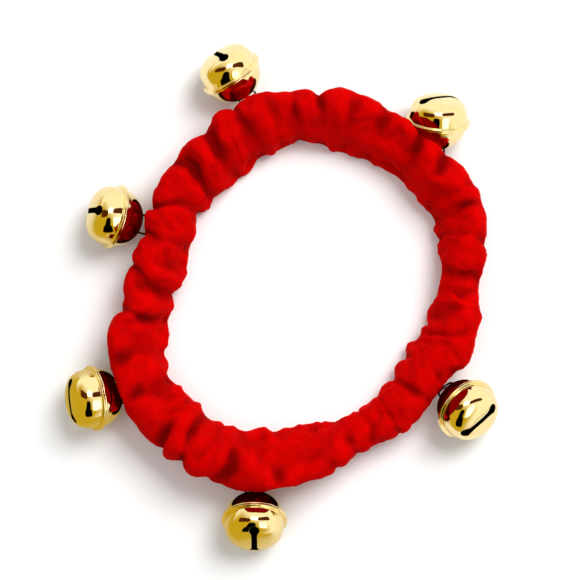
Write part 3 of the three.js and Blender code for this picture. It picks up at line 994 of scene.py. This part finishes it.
def settle_cloth(points):
    """Lets the tube settle as cloth that was cut larger than it, so that it gathers and fills out."""
    scale = 10.0  # cloth solves best at about the size of clothing
    frames = 24
    mesh = bpy.data.meshes.new("cloth")
    spots = (points.reshape(-1, 3) * scale).tolist()
    mesh.from_pydata(spots, [], grid_faces(SLEEVE_STEPS, SLEEVE_SIDES))
    cloth = link(bpy.data.objects.new("cloth", mesh))
    sewn = cloth.vertex_groups.new(name="sewn")
    edge = [
        i * (SLEEVE_SIDES + 1) + j
        for i in range(SLEEVE_STEPS + 1)
        for j in range(SLEEVE_SIDES + 1)
        if i in (0, SLEEVE_STEPS) or j in (0, SLEEVE_SIDES)
    ]
    sewn.add(edge, 1.0, "REPLACE")
    modifier = cloth.modifiers.new("Cloth", "CLOTH")
    settings = modifier.settings
    settings.quality = 5
    settings.mass = 0.3
    settings.tension_stiffness = 25
    settings.compression_stiffness = 25
    settings.shear_stiffness = 5
    settings.bending_stiffness = 1.0
    settings.air_damping = 1
    settings.use_pressure = True
    settings.uniform_pressure_force = 1
    settings.vertex_group_mass = "sewn"
    settings.shrink_min = 1 - GATHER
    settings.effector_weights.gravity = 0
    collision = modifier.collision_settings
    collision.use_collision = False
    collision.use_self_collision = True
    collision.self_distance_min = 0.0035
    collision.self_friction = 2
    modifier.point_cache.frame_start = 1
    modifier.point_cache.frame_end = frames
    scene = bpy.context.scene
    scene.frame_start, scene.frame_end = 1, frames
    for number in range(1, frames + 1):
        scene.frame_set(number)
    settled = cloth.evaluated_get(bpy.context.evaluated_depsgraph_get())
    found = np.zeros(points.size)
    settled.data.vertices.foreach_get("co", found)
    scene.frame_set(1)
    bpy.data.objects.remove(cloth)
    return found.reshape(points.shape) / scale


def blur(values, reach):
    """A running mean along the ring, over a number of steps either way."""
    total = np.cumsum(np.concatenate([values[:1]] * (reach + 1) + [values] + [values[-1:]] * reach), axis=0)
    return (total[2 * reach + 1:] - total[:-2 * reach - 1]) / (2 * reach + 1)


def soften(points, rounds):
    """Rounds off the smallest wrinkles, as thick pile does."""
    for _ in range(rounds):
        points[1:-1] = (points[:-2] + 2 * points[1:-1] + points[2:]) / 4
        points[:, 1:-1] = (points[:, :-2] + 2 * points[:, 1:-1] + points[:, 2:]) / 4
    return points


def across_ring(points, ring):
    """Each point's place across the band, from the middle of the elastic: outward and up."""
    base = np.stack([ring.x, ring.y], axis=1)[:, None, :]
    way = np.stack([ring.out_x, ring.out_y], axis=1)[:, None, :]
    return ((points[:, :, :2] - base) * way).sum(axis=2), points[:, :, 2] - CORE_HEIGHT


def fit_to_band(points, ring):
    """Eases the settled cloth, a length at a time, to the band's width and height, and off the elastic."""
    reach = 9
    top_share = 1.2  # of the half width, above the elastic's middle
    soft = 0.8 * MM
    above_table = 0.05 * MM
    from_seam = (0, 1.5 * MM, 4 * MM)
    off_core = (4.95 * MM, 4.9 * MM, 4.1 * MM)
    offset, up = across_ring(points, ring)
    inner, outer = (blur(pick(offset, axis=1), reach)[:, None] for pick in (np.min, np.max))
    low, top = (blur(pick(up, axis=1), reach)[:, None] for pick in (np.min, np.max))
    half = ring.half[:, None]
    share = (offset - inner) / (outer - inner)
    wanted = half * (2 * share - 1) + ring.bulge_out[:, None] * share - ring.bulge_in[:, None] * (1 - share)
    rise = (up - low) / (top - low) * (CORE_HEIGHT + top_share * half) - CORE_HEIGHT
    from_core = np.hypot(wanted, rise)
    at_end = np.minimum(ring.along, ring.along[-1] - ring.along)[:, None]
    least = np.interp(at_end, from_seam, off_core)
    grow = least + soft * np.logaddexp(0, (from_core - least) / soft)
    grow = np.maximum(grow / from_core, 1)
    wanted, rise = wanted * grow, np.maximum(rise * grow, above_table - CORE_HEIGHT)
    points[:, :, 0] += (wanted - offset) * ring.out_x[:, None]
    points[:, :, 1] += (wanted - offset) * ring.out_y[:, None]
    points[:, :, 2] = CORE_HEIGHT + rise
    return points


def close_seam(points, rows=6):
    """Brings the tube's two ends together, easing the rows beside them."""
    meeting = (points[0] + points[-1]) / 2
    for end, step in ((0, 1), (len(points) - 1, -1)):
        shift = meeting - points[end]
        for row in range(rows):
            points[end + step * row] += shift * (1 - row / rows)
    return points


def refine(points, factor_along, factor_round):
    """Resamples the grid on Catmull-Rom curves."""
    for axis, factor in ((0, factor_along), (1, factor_round)):
        count = points.shape[axis]
        at = np.linspace(0, count - 1, (count - 1) * factor + 1)
        i = np.minimum(at.astype(int), count - 2)
        t = (at - i).reshape([-1 if k == axis else 1 for k in range(3)])
        p0 = np.take(points, np.maximum(i - 1, 0), axis)
        p1 = np.take(points, i, axis)
        p2 = np.take(points, i + 1, axis)
        p3 = np.take(points, np.minimum(i + 2, count - 1), axis)
        bend = (2 * p0 - 5 * p1 + 4 * p2 - p3) * t ** 2 + (3 * p1 - p0 - 3 * p2 + p3) * t ** 3
        points = (2 * p1 + (p2 - p0) * t + bend) / 2
    return points


def surface_normals(points):
    along = np.gradient(points, axis=0)
    round_it = np.gradient(points, axis=1)
    normals = np.cross(round_it, along)
    return normals / (np.linalg.norm(normals, axis=2, keepdims=True) + 1e-12)


def crease_shade_amounts(points, ring):
    """How far each place lies under the cloth round about it: 0 for level, 1 for a millimetre or more. It sets the
    painted shade in the creases.
    """
    reach = 7
    depth = np.hypot(*across_ring(points, ring))
    return np.clip((blur(depth, reach) - depth) / MM, 0, 1)


def nap(points):
    """The height of the short uneven pile at each place."""
    coarse, fine, height = 420, 1200, 0.3  # the height is in mm
    heights = np.array([
        noise.noise(Vector(p) * coarse) * 0.9 + noise.noise(Vector(p) * fine) * 0.5
        for p in points.reshape(-1, 3)
    ])
    return heights.reshape(points.shape[:2]) * height * MM


def add_sleeve():
    above_table = 0.02 * MM
    ring = read_ring()
    add_band_cards(ring)
    points = pinched_tube(ring)
    points = settle_cloth(points)
    points = soften(points, rounds=2)
    points = close_seam(fit_to_band(points, ring))
    # Painted shade for the creases, kept on the mesh as a point attribute.
    painted_crease_shade = crease_shade_amounts(points, ring)
    points = refine(points, 2, 2)
    painted_crease_shade = refine(painted_crease_shade[:, :, None], 2, 2)[:, :, 0]
    points = points + surface_normals(points) * nap(points)[:, :, None]
    points = clear_of_bells(points)
    points[:, :, 2] = np.maximum(points[:, :, 2], above_table)
    faces = grid_faces(points.shape[0] - 1, points.shape[1] - 1)
    piece = add_piece("plush_sleeve", points.reshape(-1, 3), faces, [PLUSH])
    shade = piece.data.attributes.new("painted_crease_shade", "FLOAT", "POINT")
    shade.data.foreach_set("value", np.clip(painted_crease_shade, 0, 1).reshape(-1))
    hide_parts("fabric_sleeve")
    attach(piece, "band")


def about(place, axis, degrees):
    """A turn about an axis through a place."""
    turn = Matrix.Rotation(math.radians(degrees), 4, Vector(axis))
    return Matrix.Translation(place) @ turn @ Matrix.Translation(-place)


def swept(bell, places, swings):
    """Where places on a bell go as its thread turns, and as it swings up by shares of its reach."""
    least, most = bell.thread["range_deg"]
    highest = bell.hinge["range_deg"][1]
    found = []
    for turned in (least, 0, most):
        for share in swings:
            swing = about(bell.crown, bell.hinge["axis"], share * highest)
            move = about(bell.anchor, bell.thread["axis"], turned) @ swing
            found += [move @ place for place in places]
    return found


def bail_spots(bell):
    """Places along the bail's crown and down its legs."""
    side = Vector(bell.hinge["axis"])
    down = (bell.centre - bell.crown).normalized()
    crown = [(share, 0) for share in (-0.5, -0.25, 0, 0.25, 0.5)]
    legs = [(share, reach) for share in (-0.5, 0.5) for reach in (0.5, 1)]
    return [
        bell.crown + share * BAIL_SPACING * side + reach * BAIL_REACH * down
        for share, reach in crown + legs
    ]


def clear_of_bells(points):
    """Presses the cloth in wherever a bell or its wire would enter it, through all of their swing."""
    shell_gap, wire_gap = 0.25 * MM, 4 * WIRE_RADIUS
    for bell in BELLS:
        room = RIM_RADIUS if bell.number in RIM_BESIDE_SLEEVE else SHELL_RADIUS
        for centre in swept(bell, [bell.centre], (0, 0.5, 1)):
            points = keep_off(points, centre, room + shell_gap)
        for spot in swept(bell, bail_spots(bell), (0, 1)):
            points = keep_off(points, spot, wire_gap)
    return points


def keep_off(points, centre, radius):
    """Presses the cloth in where it would enter a ball."""
    away = points - np.array(centre)
    distance = np.linalg.norm(away, axis=2, keepdims=True)
    return np.where(distance < radius, np.array(centre) + away / distance * radius, points)


# ---- everything ----

add_camera()
add_lights()
add_stage()
SLOTTED = slotted_shell()
UPPER = upper_shell()
for one in BELLS:
    add_bell(one, SLOTTED, UPPER)
add_sleeve()

finishes = {"elastic": RUBBER, "elastic_join_lashing": THREAD, "sleeve_closing_stitch": THREAD}
finishes.update({f"thread_{one.number}": THREAD for one in BELLS})
for kept, finish in finishes.items():
    NODES[kept].data.materials.clear()
    NODES[kept].data.materials.append(finish)

bpy.context.scene.view_settings.view_transform = "Standard"
